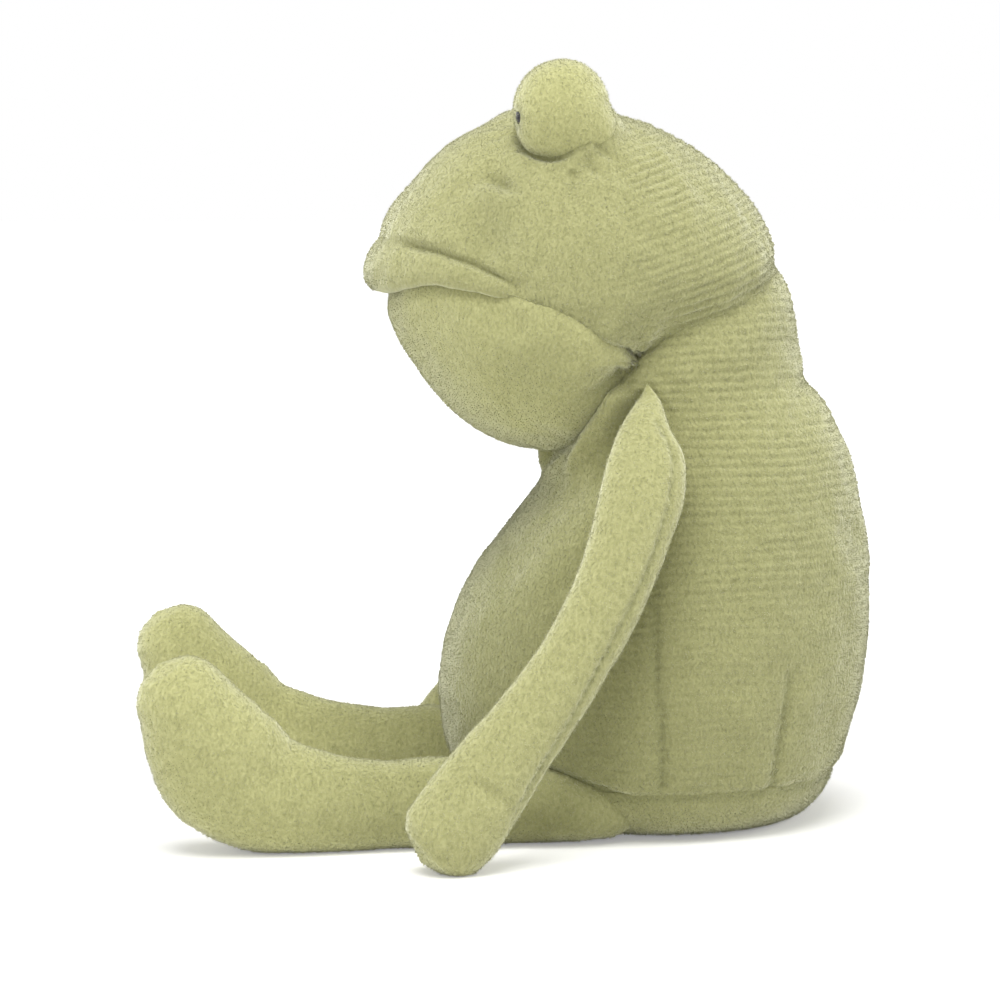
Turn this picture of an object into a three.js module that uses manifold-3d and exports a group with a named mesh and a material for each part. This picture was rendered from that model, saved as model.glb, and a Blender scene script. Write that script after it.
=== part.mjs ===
// A seated plush frog: sewn covers of short-pile cloth over fibre stuffing, in millimetres.
// +Z is up, the frog faces -Y and its left side is +X. It sits on Z = 0, and the origin is the
// middle of its seat. Every cover is a shell that is open where it is sewn to the next piece.
import * as THREE from 'three';
import { mergeVertices } from 'three/addons/utils/BufferGeometryUtils.js';
import Module from 'manifold-3d';

const wasm = await Module();
wasm.setup();

// Driving dimensions.
const cloth = { wall: 1.6, gap: 0.3, seamGap: 0.4, limbGap: 0.7 };
const seat = { seamHeight: 9.4 };
const torso = { height: 100, front: 43, back: 42.5, halfWidth: 42.5, spineY: -9 };
const beanBag = { halfLength: 24, halfWidth: 22, height: 15 };
const neck = { pivotY: -12.5, drop: 29, height: 56, front: 24.5, back: 28.4, halfWidth: 29.6, band: 1.4 };
const neckAngle = { head: 36, torsoFront: 46 };
const head = { drop: 16.5, height: 69, front: 39.8, back: 42, halfWidth: 38.2, spineY: -24, lip: 3.6 };
const mouth = { rise: 15.6, cornerY: -37.5 };
const mound = { halfWidth: 9.5, halfLength: 9.6, halfHeight: 10.3, halfApart: 19, forward: 3.8, sink: 1.2 };
const eye = { radius: 2.5, dome: 1.4, sunk: 0.6, shank: 0.9, washer: 2.8, washerDepth: 0.8 };
const eyeAngle = { outward: 14, down: 5 };
const arm = { y: -11.8, drop: 3.5, forward: 42, spread: 32, halfWidth: 8.6, halfThickness: 7.4, knot: 1.9 };
const leg = { rootX: 29, rootY: -27, hipZ: 6.4, footHeight: 37, halfHeight: 13, halfWidth: 10.2, gather: 8 };
const legReach = { left: 80, right: 84 };
const legSplay = { left: 12.5, right: 0 };

// Facets round and along each form, outside and inside.
const facetCounts = {
  torso: [32, 18], torsoInner: [16, 10], neck: [28, 11], neckInner: [16, 7],
  head: [32, 22], headInner: [16, 12], mound: [14, 9], moundInner: [12, 6],
  arm: [12, 15], armInner: [8, 9], leg: [14, 19], legInner: [8, 11],
  bag: [16, 8], knot: [8, 5], gather: [14, 9], turned: 14, dome: 4,
};

// Stations from the bottom up: height, front, back and half width, as shares of the form's sizes.
const torsoShares = [
  [-0.005, 0, 0, 0], [0, 0.6, 0.61, 0.565], [0.015, 0.745, 0.705, 0.72], [0.04, 0.85, 0.775, 0.81],
  [0.09, 0.93, 0.85, 0.895], [0.165, 0.98, 0.91, 0.955], [0.28, 1, 0.98, 0.995], [0.39, 0.95, 1, 1],
  [0.51, 0.815, 1, 0.97], [0.6, 0.65, 0.97, 0.915], [0.67, 0.52, 0.935, 0.85], [0.76, 0.42, 0.875, 0.755],
  [0.83, 0.36, 0.785, 0.7], [0.88, 0.325, 0.68, 0.67], [0.94, 0.3, 0.6, 0.64], [1, 0, 0, 0],
];
const neckShares = [
  [0, 0, 0, 0], [0.07, 0.78, 0.81, 0.74], [0.18, 0.95, 0.915, 0.88], [0.285, 1, 0.97, 0.945],
  [0.43, 0.98, 0.99, 0.985], [0.555, 0.94, 1, 1], [0.68, 0.86, 0.98, 0.99], [0.785, 0.735, 0.935, 0.945],
  [0.875, 0.61, 0.855, 0.86], [0.945, 0.45, 0.7, 0.675], [1, 0, 0, 0],
];
// The head's stations end with how far the lip stands out.
const headShares = [
  [0, 0, 0, 0, 0], [0.043, 0.427, 0.857, 0.524, 0], [0.1, 0.6, 0.95, 0.746, 0],
  [0.18, 0.754, 1, 0.874, 0], [0.27, 0.86, 1, 0.953, 0], [0.37, 0.94, 1, 0.995, 0],
  [0.45, 0.98, 0.988, 1, 0], [0.471, 0.985, 0.98, 1, 0.6],
  [0.5, 0.99, 0.97, 0.995, 1], [0.536, 0.995, 0.952, 0.985, 0.9], [0.58, 1, 0.93, 0.965, 0.45],
  [0.616, 0.995, 0.905, 0.948, 0], [0.696, 0.92, 0.848, 0.885, 0], [0.79, 0.77, 0.72, 0.772, 0],
  [0.877, 0.608, 0.557, 0.628, 0], [0.942, 0.452, 0.357, 0.47, 0], [0.984, 0.327, 0.143, 0.275, 0],
  [1, 0, 0, 0, 0],
];
// How far forward the lip starts and is full, as shares of the turn from the side to the front.
const lipShares = [0.28, 0.55];
// Limb stations, from the sewn end to the tip. Arm: forward, height, outward, half width, half thickness.
const armShares = [
  [0, 1.023, 0, 0, 0], [-0.005, 0.998, 0.04, 0.29, 0.24], [0.014, 0.936, 0.19, 0.63, 0.53],
  [0.012, 0.865, 0.33, 0.88, 0.74], [0.036, 0.8, 0.45, 0.93, 0.82], [0.14, 0.646, 0.6, 0.825, 0.855],
  [0.33, 0.461, 0.735, 0.79, 0.855], [0.533, 0.32, 0.83, 0.843, 0.88], [0.73, 0.194, 0.905, 0.99, 0.97],
  [0.86, 0.105, 0.96, 1, 1], [0.945, 0.047, 0.985, 0.77, 0.77], [1, 0.012, 1, 0, 0],
];
// Leg: along, height, half height, half width.
const legShares = [
  [-0.026, 0.173, 0, 0], [0.006, 0.176, 0.323, 0.45], [0.051, 0.186, 0.508, 0.66], [0.115, 0.203, 0.6, 0.79],
  [0.218, 0.216, 0.638, 0.835], [0.32, 0.222, 0.662, 0.845], [0.429, 0.219, 0.654, 0.835],
  [0.551, 0.235, 0.708, 0.845], [0.659, 0.268, 0.792, 0.865], [0.749, 0.324, 0.915, 0.9],
  [0.83, 0.454, 1, 0.96], [0.882, 0.619, 0.892, 1], [0.928, 0.797, 0.708, 0.95], [0.956, 0.895, 0.615, 0.8],
  [0.976, 0.965, 0.415, 0.52], [0.987, 1.005, 0, 0],
];
// Where the leg turns, as a share of its reach, and the thin sewn end of every limb.
const hipShare = 0.08;
const sewnShare = 0.2;

// Places that follow from the sizes above.
const pivotShare = 0.89;
const pivot = new THREE.Vector3(0, neck.pivotY, torso.height * pivotShare);
const mouthZ = pivot.z + mouth.rise;
const innerDepth = cloth.wall + cloth.gap;
const reach = 2 * (torso.height + head.height);

function material(color, roughness = 0.95) {
  return new THREE.MeshStandardMaterial({ color, roughness, metalness: 0 });
}
const materials = {
  body: material(0x9aa56f),
  face: material(0xa3ad7c),
  limb: material(0xa0aa76),
  knot: material(0x7f8a58),
  fibre: material(0xf2f1ec),
  pouch: material(0xd9d6cc),
  bead: material(0x141312, 0.15),
  washer: material(0xe6e4dd, 0.5),
};

// A closed geometry as a solid that can be joined and cut.
function solidOf(geometry) {
  const bare = geometry.clone();
  bare.deleteAttribute('normal');
  bare.deleteAttribute('uv');
  const merged = mergeVertices(bare);
  return new wasm.Manifold(new wasm.Mesh({
    numProp: 3,
    vertProperties: new Float32Array(merged.attributes.position.array),
    triVerts: new Uint32Array(merged.index.array),
  }));
}

function geometryOf(solid) {
  const cut = solid.getMesh();
  const geometry = new THREE.BufferGeometry();
  geometry.setAttribute('position', new THREE.BufferAttribute(cut.vertProperties, 3));
  geometry.setIndex(new THREE.BufferAttribute(cut.triVerts, 1));
  geometry.computeVertexNormals();
  return geometry;
}

function meshOf(name, shape, finish) {
  const mesh = new THREE.Mesh(shape.isBufferGeometry ? shape : geometryOf(shape), finish);
  mesh.name = name;
  return mesh;
}

// Everything on the side of a plane that its normal points to.
function halfSpace(point, normal) {
  const block = new THREE.BoxGeometry(reach, reach, reach);
  block.translate(0, 0, reach / 2);
  block.applyQuaternion(new THREE.Quaternion().setFromUnitVectors(new THREE.Vector3(0, 0, 1), normal));
  block.translate(point.x, point.y, point.z);
  return solidOf(block);
}

function turnFaces(geometry) {
  const order = geometry.index.array;
  for (let i = 0; i < order.length; i += 3) [order[i], order[i + 1]] = [order[i + 1], order[i]];
}

function volumeOf(geometry) {
  const place = geometry.attributes.position;
  const corner = [new THREE.Vector3(), new THREE.Vector3(), new THREE.Vector3()];
  let volume = 0;
  for (let i = 0; i < geometry.index.count; i += 3) {
    corner.forEach((c, k) => c.fromBufferAttribute(place, geometry.index.getX(i + k)));
    volume += corner[0].dot(corner[1].cross(corner[2])) / 6;
  }
  return volume;
}

// A soft form: a unit sphere whose rings are laid on the sections that pointAt gives, from its
// first pole to its last, and whose skin is then moved out (or in) by grow. The move may fade to
// nothing over a share of its length at the first pole, where a limb is too thin to be hollow.
function softForm(pointAt, counts, grow = 0, fadeShare = 0) {
  const [around, along] = counts.map(Math.round);
  const ball = new THREE.SphereGeometry(1, around, along);
  const count = ball.attributes.position.count;
  const moved = new THREE.BufferAttribute(new Float32Array(count), 1);
  for (let i = 0; i < count; i++) {
    const row = Math.floor(i / (around + 1));
    const step = row / along;
    // All corners at a pole take the same turn, so that they merge.
    const turn = row % along ? 2 * Math.PI * (i % (around + 1) % around) / around : 0;
    ball.attributes.position.setXYZ(i, ...pointAt(step, turn).toArray());
    moved.setX(i, fadeShare ? grow * Math.min(1, step / fadeShare) : grow);
  }
  ball.deleteAttribute('normal');
  ball.deleteAttribute('uv');
  ball.setAttribute('moved', moved);
  const form = mergeVertices(ball);
  if (volumeOf(form) < 0) turnFaces(form);
  form.computeVertexNormals();
  const skin = new THREE.Vector3();
  const normal = new THREE.Vector3();
  for (let i = 0; i < form.attributes.position.count; i++) {
    skin.fromBufferAttribute(form.attributes.position, i);
    normal.fromBufferAttribute(form.attributes.normal, i);
    skin.addScaledVector(normal, form.attributes.moved.getX(i));
    form.attributes.position.setXYZ(i, ...skin.toArray());
  }
  form.deleteAttribute('moved');
  return solidOf(form);
}

// Curves through the columns of a table of stations, read by the same share of its length.
function stationCurves(rows, sizes) {
  const value = (row, k) => (row[k] ?? 0) * (sizes[k] ?? 0);
  const column = (first) => new THREE.CatmullRomCurve3(rows.map((row) => new THREE.Vector3(
    value(row, first), value(row, first + 1), value(row, first + 2),
  )));
  return [column(0), column(3)];
}

// An upright form, such as the torso: each level section has a front, a back and a half width.
function uprightPoint(rows, sizes, bottomZ, spineY, bulge = () => 0) {
  const [lower, upper] = stationCurves(rows, sizes);
  return (step, turn) => {
    const [height, front, back] = lower.getPoint(step).toArray();
    const [halfWidth, stand] = upper.getPoint(step).toArray();
    const forward = Math.sin(turn);
    const y = forward > 0 ? Math.max(front, 0) + bulge(stand, forward) : Math.max(back, 0);
    const x = -Math.max(halfWidth, 0) * Math.cos(turn);
    return new THREE.Vector3(x, spineY - y * forward, bottomZ + height);
  };
}

// A limb: oval sections square to a path, first size in the plane of the path, second across it.
function limbPoint(path, sizes) {
  const side = new THREE.Vector3();
  return (step, turn) => {
    const tangent = path.getTangent(step);
    const size = sizes.getPoint(step);
    side.set(1, 0, 0).addScaledVector(tangent, -tangent.x).normalize();
    const up = new THREE.Vector3().crossVectors(tangent, side);
    return path.getPoint(step)
      .addScaledVector(up, Math.max(size.x, 0) * Math.sin(turn))
      .addScaledVector(side, Math.max(size.y, 0) * Math.cos(turn));
  };
}

function ballAt(centre, radii, [around, along], grow = 0) {
  return softForm((step, turn) => new THREE.Vector3(
    centre.x - radii.x * Math.sin(Math.PI * step) * Math.cos(turn),
    centre.y - radii.y * Math.sin(Math.PI * step) * Math.sin(turn),
    centre.z - radii.z * Math.cos(Math.PI * step),
  ), [around, along], grow);
}

// The forms: each gives its solid, moved out or in by grow.
const formOf = {
  torso: (grow, round = facetCounts.torso) => softForm(
    uprightPoint(torsoShares, [torso.height, torso.front, torso.back, torso.halfWidth], 0, torso.spineY),
    round, grow,
  ),
  neck: (grow, round = facetCounts.neck) => softForm(
    uprightPoint(
      neckShares, [neck.height, neck.front, neck.back, neck.halfWidth], pivot.z - neck.drop, torso.spineY,
    ), round, grow,
  ),
  head: (grow, round = facetCounts.head, lip = head.lip) => softForm(
    uprightPoint(
      headShares, [head.height, head.front, head.back, head.halfWidth, lip], pivot.z - head.drop, head.spineY,
      (stand, forward) => Math.max(stand, 0) * THREE.MathUtils.smoothstep(forward, ...lipShares),
    ), round, grow,
  ),
};

// The level that the frog stands on, with everything under it cut flat.
const ground = halfSpace(new THREE.Vector3(), new THREE.Vector3(0, 0, -1));

// Planes through the neck: the head's underside, and the torso's level back and sloping front.
const radians = THREE.MathUtils.degToRad;
function slopeNormal(degrees) {
  return new THREE.Vector3(0, -Math.sin(radians(degrees)), Math.cos(radians(degrees)));
}
const headNormal = slopeNormal(neckAngle.head);
function neckPlane(normal, offset) {
  return halfSpace(pivot.clone().addScaledVector(normal, offset), normal);
}
function aboveHeadPlane(offset) {
  return neckPlane(headNormal, offset);
}
function aboveTorsoPlanes(offset) {
  return neckPlane(slopeNormal(0), offset).add(neckPlane(slopeNormal(neckAngle.torsoFront), offset));
}

// Torso: a cover, a base panel under the seat's seam, fibre, and a bag of beads low in the fibre.
function makeTorso() {
  const above = aboveTorsoPlanes(-neck.band / 2 - cloth.gap);
  const outer = formOf.torso(0).subtract(ground);
  const floorInside = halfSpace(new THREE.Vector3(0, 0, cloth.wall), new THREE.Vector3(0, 0, -1));
  const inner = formOf.torso(-cloth.wall, facetCounts.torsoInner).subtract(floorInside);
  const shell = outer.subtract(inner).subtract(above);
  const seam = (side) => halfSpace(
    new THREE.Vector3(0, 0, seat.seamHeight + side * cloth.seamGap / 2), new THREE.Vector3(0, 0, side),
  );
  const bagCentre = new THREE.Vector3(0, torso.spineY / 2, innerDepth + beanBag.height / 2);
  const bagRadii = new THREE.Vector3(beanBag.halfWidth, beanBag.halfLength, beanBag.height / 2);
  const fibreFloor = halfSpace(new THREE.Vector3(0, 0, innerDepth), new THREE.Vector3(0, 0, -1));
  const fibre = formOf.torso(-innerDepth, facetCounts.torsoInner)
    .subtract(fibreFloor)
    .subtract(above)
    .subtract(ballAt(bagCentre, bagRadii, facetCounts.bag, cloth.gap));
  const group = new THREE.Group();
  group.add(
    meshOf('torso_cover', shell.intersect(seam(1)), materials.body),
    meshOf('base_panel', shell.intersect(seam(-1)), materials.body),
    meshOf('torso_filling', fibre, materials.fibre),
    meshOf('bean_bag', ballAt(bagCentre, bagRadii, facetCounts.bag), materials.pouch),
  );
  return group;
}

// Neck: a sleeve and its fibre, thick at the nape and thin at the sides, where the head tips.
function makeNeck() {
  const outside = aboveHeadPlane(neck.band / 2).add(belowTorsoPlanes(-neck.band / 2));
  const outer = formOf.neck(0);
  const inner = formOf.neck(-cloth.wall, facetCounts.neckInner);
  const fibre = formOf.neck(-innerDepth, facetCounts.neckInner);
  const group = new THREE.Group();
  group.add(
    meshOf('neck_cover', outer.subtract(inner).subtract(outside), materials.body),
    meshOf('neck_filling', fibre.subtract(outside), materials.fibre),
  );
  return group;
}

function belowTorsoPlanes(offset) {
  const under = (degrees) => {
    const normal = slopeNormal(degrees);
    return halfSpace(pivot.clone().addScaledVector(normal, offset), normal.clone().negate());
  };
  return under(0).intersect(under(neckAngle.torsoFront));
}

// Everything under the mouth line, which runs level to the corner and then down to the neck's side.
function underMouth(offset) {
  const line = new THREE.Shape();
  line.moveTo(-reach, -reach);
  line.lineTo(-reach, mouthZ + offset);
  line.lineTo(mouth.cornerY, mouthZ + offset);
  line.lineTo(pivot.y, pivot.z + offset);
  line.lineTo(reach, pivot.z + offset);
  line.lineTo(reach, -reach);
  const block = new THREE.ExtrudeGeometry(line, { depth: reach, bevelEnabled: false });
  block.translate(0, 0, -reach / 2);
  // The outline's first axis becomes +Y, its second +Z and its depth +X.
  block.applyMatrix4(new THREE.Matrix4().makeBasis(
    new THREE.Vector3(0, 1, 0), new THREE.Vector3(0, 0, 1), new THREE.Vector3(1, 0, 0),
  ));
  return solidOf(block);
}

// Where the eye looks, and the middle of its mound, on the left (1) or right (-1).
function moundCentre(side) {
  return new THREE.Vector3(
    side * mound.halfApart,
    head.spineY - mound.forward,
    pivot.z - head.drop + head.height - mound.sink,
  );
}

function eyeDirection(side) {
  const out = radians(eyeAngle.outward);
  const down = radians(eyeAngle.down);
  const level = Math.cos(down);
  return new THREE.Vector3(side * Math.sin(out) * level, -Math.cos(out) * level, -Math.sin(down));
}

function moundForm(side, grow, round) {
  const radii = new THREE.Vector3(mound.halfWidth, mound.halfLength, mound.halfHeight);
  return ballAt(moundCentre(side), radii, round, grow);
}

// A turned piece on the eye's own axis, its profile given from the mound's middle outwards.
function turnedOnEye(side, profile) {
  const shape = new THREE.LatheGeometry(profile.map(([r, h]) => new THREE.Vector2(r, h)), facetCounts.turned);
  const lean = new THREE.Quaternion().setFromUnitVectors(new THREE.Vector3(0, 1, 0), eyeDirection(side));
  shape.applyQuaternion(lean);
  const centre = moundCentre(side);
  shape.translate(centre.x, centre.y, centre.z);
  return shape;
}

// The mound's skin along the eye's axis, from its middle.
function moundSkin(side) {
  const d = eyeDirection(side);
  return 1 / Math.hypot(d.x / mound.halfWidth, d.y / mound.halfLength, d.z / mound.halfHeight);
}

function makeEye(side, name) {
  const skin = moundSkin(side);
  // The washer's rim, not its middle, meets the curved inside of the mound.
  const washerFace = Math.sqrt((skin - cloth.wall) ** 2 - eye.washer ** 2) - 2 * cloth.gap;
  const washerBack = washerFace - eye.washerDepth;
  const shankEnd = washerBack - eye.washerDepth;
  const backFace = skin - eye.sunk;
  const bead = [[0, shankEnd], [eye.shank, shankEnd], [eye.shank, backFace], [eye.radius, backFace]];
  for (let i = 1; i < facetCounts.dome; i++) {
    const lift = (Math.PI / 2) * (i / facetCounts.dome);
    bead.push([eye.radius * Math.cos(lift), backFace + eye.dome * Math.sin(lift)]);
  }
  bead.push([0, backFace + eye.dome]);
  const hole = eye.shank + cloth.gap;
  const washer = [
    [hole, washerBack], [eye.washer, washerBack], [eye.washer, washerFace], [hole, washerFace],
    [hole, washerBack],
  ];
  const dimple = eye.radius + cloth.gap;
  const dimpleFloor = backFace - cloth.gap;
  const outside = skin + eye.dome;
  const bore = [
    [0, 0], [hole, 0], [hole, dimpleFloor], [dimple, dimpleFloor], [dimple, outside], [0, outside],
  ];
  const pocketRadius = eye.washer + cloth.gap;
  const pocket = [[0, 0], [pocketRadius, 0], [pocketRadius, skin], [0, skin]];
  return {
    bead: meshOf(`eye_${name}`, turnedOnEye(side, bead), materials.bead),
    washer: meshOf(`eye_washer_${name}`, turnedOnEye(side, washer), materials.washer),
    bore: solidOf(turnedOnEye(side, bore)),
    pocket: solidOf(turnedOnEye(side, pocket)),
  };
}

// Head: the cover above the mouth line, the chin below it, fibre, and two eye mounds with beads.
function makeHead() {
  const plane = neck.band / 2 + cloth.gap;
  const aboveNeck = aboveHeadPlane(plane);
  const mounds = [1, -1].map((side) => ({ side, name: side > 0 ? 'left' : 'right' }));
  const outer = formOf.head(0).intersect(aboveNeck);
  const shell = outer.subtract(formOf.head(-cloth.wall, facetCounts.headInner, 0));
  const fibre = formOf.head(-innerDepth, facetCounts.headInner, 0).intersect(aboveNeck);
  const group = new THREE.Group();
  group.add(
    meshOf('head_cover', shell.subtract(underMouth(cloth.seamGap / 2)), materials.face),
    meshOf('chin_cover', shell.intersect(underMouth(-cloth.seamGap / 2)), materials.face),
    meshOf('head_filling', fibre, materials.fibre),
  );
  const headGrown = formOf.head(cloth.gap);
  for (const { side, name } of mounds) {
    const seen = makeEye(side, name);
    const moundShell = moundForm(side, 0, facetCounts.mound)
      .subtract(moundForm(side, -cloth.wall, facetCounts.moundInner))
      .subtract(headGrown)
      .subtract(seen.bore);
    const moundFibre = moundForm(side, -innerDepth, facetCounts.moundInner)
      .subtract(headGrown)
      .subtract(seen.pocket);
    group.add(
      meshOf(`eye_mound_cover_${name}`, moundShell, materials.face),
      meshOf(`eye_mound_filling_${name}`, moundFibre, materials.fibre),
      seen.bead,
      seen.washer,
    );
  }
  return group;
}

// The torso's half width at a height, read from its stations.
function torsoHalfWidthAt(z) {
  const rows = torsoShares.map(([height, , , width]) => [height * torso.height, width * torso.halfWidth]);
  const above = rows.findIndex(([height]) => height >= z);
  const [[z0, w0], [z1, w1]] = [rows[above - 1], rows[above]];
  return w0 + (w1 - w0) * (z - z0) / (z1 - z0);
}

// A limb's cover and fibre, cut by the torso and clear of what the limb turns on.
function limbSolids(form, round, innerRound, turnsOn) {
  const away = formOf.torso(cloth.limbGap).add(ground).add(turnsOn);
  const cover = form(0, round).subtract(form(-cloth.wall, innerRound)).subtract(away);
  return { cover, fibre: form(-innerDepth, innerRound).subtract(away) };
}

// The gathered cloth that a limb turns on, a ball where the limb is sewn to the torso.
function gatherBall(centre, radius, round, grow = 0) {
  return ballAt(centre, new THREE.Vector3(radius, radius, radius), round, grow);
}

function makeGather(name, ball) {
  return meshOf(name, ball.subtract(formOf.torso(cloth.gap)).subtract(ground), materials.knot);
}

function makeArm(side, name) {
  const shoulderZ = pivot.z - arm.drop;
  const shoulderX = torsoHalfWidthAt(shoulderZ) + arm.knot;
  const shoulder = new THREE.Vector3(side * shoulderX, arm.y, shoulderZ);
  const path = new THREE.CatmullRomCurve3(armShares.map(([forward, height, outward]) => new THREE.Vector3(
    side * (shoulderX + outward * arm.spread), arm.y - forward * arm.forward, height * shoulderZ,
  )));
  const sizes = new THREE.CatmullRomCurve3(armShares.map((row) => new THREE.Vector3(
    row[3] * arm.halfWidth, row[4] * arm.halfThickness, 0,
  )));
  const form = (grow, round) => softForm(limbPoint(path, sizes), round, grow, sewnShare);
  const clearance = gatherBall(shoulder, arm.knot, facetCounts.knot, cloth.gap);
  const { cover, fibre } = limbSolids(form, facetCounts.arm, facetCounts.armInner, clearance);
  const group = new THREE.Group();
  group.add(
    makeGather(`shoulder_knot_${name}`, gatherBall(shoulder, arm.knot, facetCounts.knot)),
    meshOf(`arm_cover_${name}`, cover, materials.limb),
    meshOf(`arm_filling_${name}`, fibre, materials.fibre),
  );
  return group;
}

function makeLeg(side, name) {
  const splay = radians(legSplay[name]);
  const ahead = new THREE.Vector3(side * Math.sin(splay), -Math.cos(splay), 0);
  const pointAlong = (along, z) => new THREE.Vector3(side * leg.rootX, leg.rootY, z)
    .addScaledVector(ahead, along * legReach[name]);
  const hip = pointAlong(hipShare, leg.hipZ);
  const path = new THREE.CatmullRomCurve3(legShares.map(
    ([along, height]) => pointAlong(along, height * leg.footHeight),
  ));
  const sizes = new THREE.CatmullRomCurve3(legShares.map((row) => new THREE.Vector3(
    row[2] * leg.halfHeight, row[3] * leg.halfWidth, 0,
  )));
  const form = (grow, round) => softForm(limbPoint(path, sizes), round, grow, sewnShare);
  const clearance = gatherBall(hip, leg.gather, facetCounts.gather, cloth.gap)
    .add(halfSpace(hip, ahead.clone().negate()));
  const { cover, fibre } = limbSolids(form, facetCounts.leg, facetCounts.legInner, clearance);
  const group = new THREE.Group();
  group.add(
    makeGather(`hip_gather_${name}`, gatherBall(hip, leg.gather, facetCounts.gather)),
    meshOf(`leg_cover_${name}`, cover, materials.limb),
    meshOf(`leg_filling_${name}`, fibre, materials.fibre),
  );
  return group;
}

const frog = new THREE.Group();
frog.name = 'plush_frog';
frog.add(makeTorso(), makeNeck(), makeHead());
frog.add(makeArm(1, 'left'), makeArm(-1, 'right'), makeLeg(1, 'left'), makeLeg(-1, 'right'));

export default frog;
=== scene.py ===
import math
import bmesh
import bpy
import numpy as np
from mathutils import Matrix, Vector, noise


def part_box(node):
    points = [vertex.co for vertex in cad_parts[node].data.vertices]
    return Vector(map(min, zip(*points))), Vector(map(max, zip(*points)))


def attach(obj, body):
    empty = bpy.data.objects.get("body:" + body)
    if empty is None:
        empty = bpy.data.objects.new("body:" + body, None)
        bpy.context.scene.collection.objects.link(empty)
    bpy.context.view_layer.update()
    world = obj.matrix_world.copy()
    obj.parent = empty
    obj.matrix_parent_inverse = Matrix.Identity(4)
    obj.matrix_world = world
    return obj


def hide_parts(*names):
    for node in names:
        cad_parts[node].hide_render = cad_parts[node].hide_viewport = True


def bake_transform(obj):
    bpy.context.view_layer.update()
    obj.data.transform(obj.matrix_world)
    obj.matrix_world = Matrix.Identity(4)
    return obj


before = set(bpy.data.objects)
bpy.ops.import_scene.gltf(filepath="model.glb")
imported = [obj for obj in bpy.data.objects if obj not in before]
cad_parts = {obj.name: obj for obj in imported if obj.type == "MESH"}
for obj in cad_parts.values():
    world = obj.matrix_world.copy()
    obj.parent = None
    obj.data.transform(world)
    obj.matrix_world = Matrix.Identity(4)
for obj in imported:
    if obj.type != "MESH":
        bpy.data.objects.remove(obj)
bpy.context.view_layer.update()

# A seated plush frog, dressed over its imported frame. Shapes are worked out in millimetres,
# +Z up, face towards -Y, its left side at +X, and go to metres once, when a mesh is made.
mm = 0.001
fullTurn = 2 * math.pi
tiny = 1e-9
thinnest = 1e-3
sides = dict(left=1, right=-1)


class Values(dict):
    __getattr__ = dict.__getitem__


def tell(words):
    print("frog:", words)


# Tables of stations, the curves through them, and soft steps and bumps

def curveAt(rows, t):
    # a centripetal curve through the rows of a table, read at shares t of its length
    rows = np.asarray(rows, float)
    last = len(rows) - 1
    spot = np.clip(t, 0, 1) * last
    i = np.minimum(spot.astype(int), last - 1)
    w = (spot - i)[:, None]
    padded = np.vstack([2 * rows[0] - rows[1], rows, 2 * rows[-1] - rows[-2]])
    a, b, c, d = (padded[i + k] for k in range(4))
    gaps = [np.linalg.norm(q - p, axis=1)[:, None] ** 0.5 for p, q in ((a, b), (b, c), (c, d))]
    ga, gb, gc = gaps
    pullB = ((b - a) / ga - (c - a) / (ga + gb) + (c - b) / gb) * gb
    pullC = ((c - b) / gb - (d - b) / (gb + gc) + (d - c) / gc) * gb
    return (b + pullB * w + (3 * (c - b) - 2 * pullB - pullC) * w**2
            + (2 * (b - c) + pullB + pullC) * w**3)


def stations(rows, sizes, split=3, count=900):
    # a table of thousandths in real sizes: places on one curve, and sections' sizes on another
    rows = np.asarray(rows) / 1000 * sizes
    t = np.linspace(0, 1, count)
    return np.hstack([curveAt(rows[:, :split], t), curveAt(rows[:, split:], t)])


def ramp(x, start, end):
    t = np.clip((x - start) / (end - start), 0, 1)
    return t * t * (3 - 2 * t)


def bell(x, width):
    return np.exp(-((x / width) ** 2))


def bump(x, middle, width):
    return bell(x - middle, width)


def streak(x, size, width):
    return size * bell(x, width)


def smoothMax(a, b, soft):
    return np.logaddexp(a / soft, b / soft) * soft


# Grids: columns round a skin by rows along it, each a point in millimetres

seedShift = np.array([1, 2.3, -1.7])      # which way a seed moves the noise


def noiseOn(grid, scale, detail, seed):
    # smooth noise, about -1 to 1, with features about scale wide
    points = grid.reshape(-1, 3) / scale + seed * seedShift
    return np.array([noise.fractal(p, 1.0, 2.0, detail) for p in points]).reshape(grid.shape[:-1])


def axesOf(grid):
    return np.moveaxis(grid, -1, 0)


def beside(grid, start, end):
    # nothing near the middle, and 1 beyond end on both sides
    return ramp(np.abs(grid[..., 0]), start, end)


def nearPath(grid, path):
    # seen from the side: how far each point lies from a path, how far along it, and its length
    points = grid[..., [1, 2]]
    path = np.asarray(path, float)
    best = np.full(points.shape[:-1], np.inf)
    along = np.zeros(points.shape[:-1])
    run = 0.0
    for a, b in zip(path, path[1:]):
        step = b - a
        length = np.linalg.norm(step)
        t = np.clip((points - a) @ step / length**2, 0, 1)
        gap = np.linalg.norm(points - (a + t[..., None] * step), axis=-1)
        nearer = gap < best
        best = np.where(nearer, gap, best)
        along = np.where(nearer, run + t * length, along)
        run += length
    return best, along / run, run


def normalsOn(grid):
    across = np.roll(grid, -1, 0) - np.roll(grid, 1, 0)
    along = np.gradient(grid, axis=1)
    out = np.cross(across, along)
    out /= np.maximum(np.linalg.norm(out, axis=2), tiny)[..., None]
    for end, inner in ((0, 1), (-1, -2)):
        if np.ptp(grid[:, end], axis=0).max() < 1e-6:     # a pole
            out[:, end] = out[:, inner].mean(0)
    return out


def push(grid, amount):
    return grid + normalsOn(grid) * amount[..., None]


def addObject(name, data):
    piece = bpy.data.objects.new(name, data)
    bpy.context.scene.collection.objects.link(piece)
    return piece


def smoothed(mesh):
    mesh.polygons.foreach_set("use_smooth", [True] * len(mesh.polygons))
    return mesh


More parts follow.
